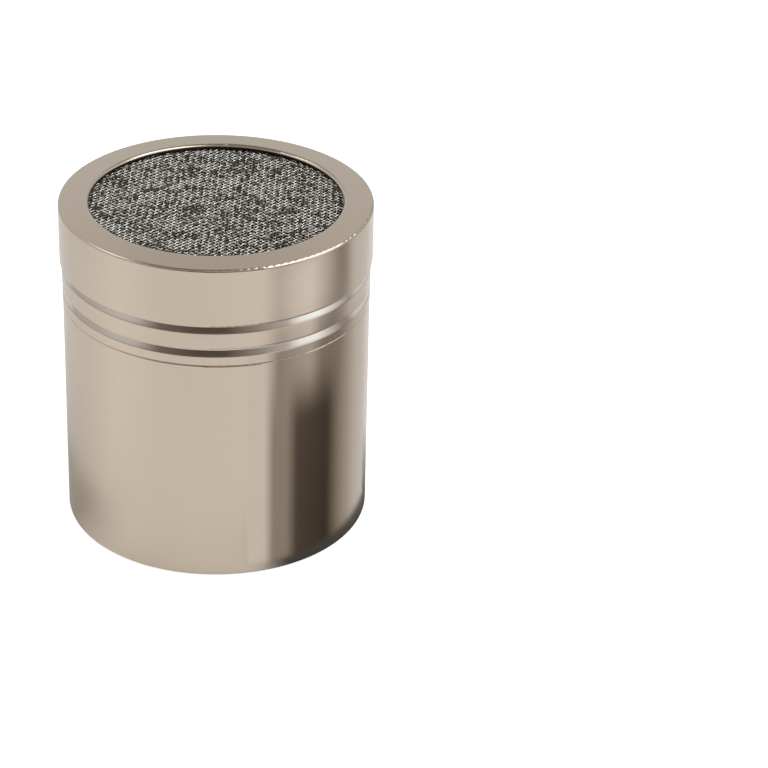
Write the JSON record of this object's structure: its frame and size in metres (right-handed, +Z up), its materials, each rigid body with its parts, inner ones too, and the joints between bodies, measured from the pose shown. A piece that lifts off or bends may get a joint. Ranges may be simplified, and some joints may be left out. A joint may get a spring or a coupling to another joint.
{
  "type": "spice shaker",
  "caption": "Cylindrical metal powder shaker: a straight cup and a push-on lid with two rolled ring grooves and a round woven-wire window in its flat top.",
  "frame": {"origin": "centre of the base, on the surface that the shaker stands on", "axes": "+Z up along the axis that every piece is turned about; the shaker looks the same all round, apart from the direction of its woven wires"},
  "size_m": [0.08, 0.08, 0.0885],
  "materials": {
    "cup_steel": "fine satin, warm nickel tint",
    "lid_steel": "fine satin, warm nickel tint, brighter in the rolled grooves",
    "cloth_wire": "bright drawn wire, neutral",
    "ring_steel": "plain mill finish, neutral"
  },
  "bodies": {
    "cup": {"body_cup": "cup_steel"},
    "lid": {"lid_shell": "lid_steel", "mesh_screen": "cloth_wire", "mesh_retaining_ring": "ring_steel"}
  },
  "joints": [
    {"name": "lid_lift", "type": "slide", "parent": "cup", "child": "lid", "axis": [0, 0, 1], "range_m": [0, 0.06]}
  ]
}
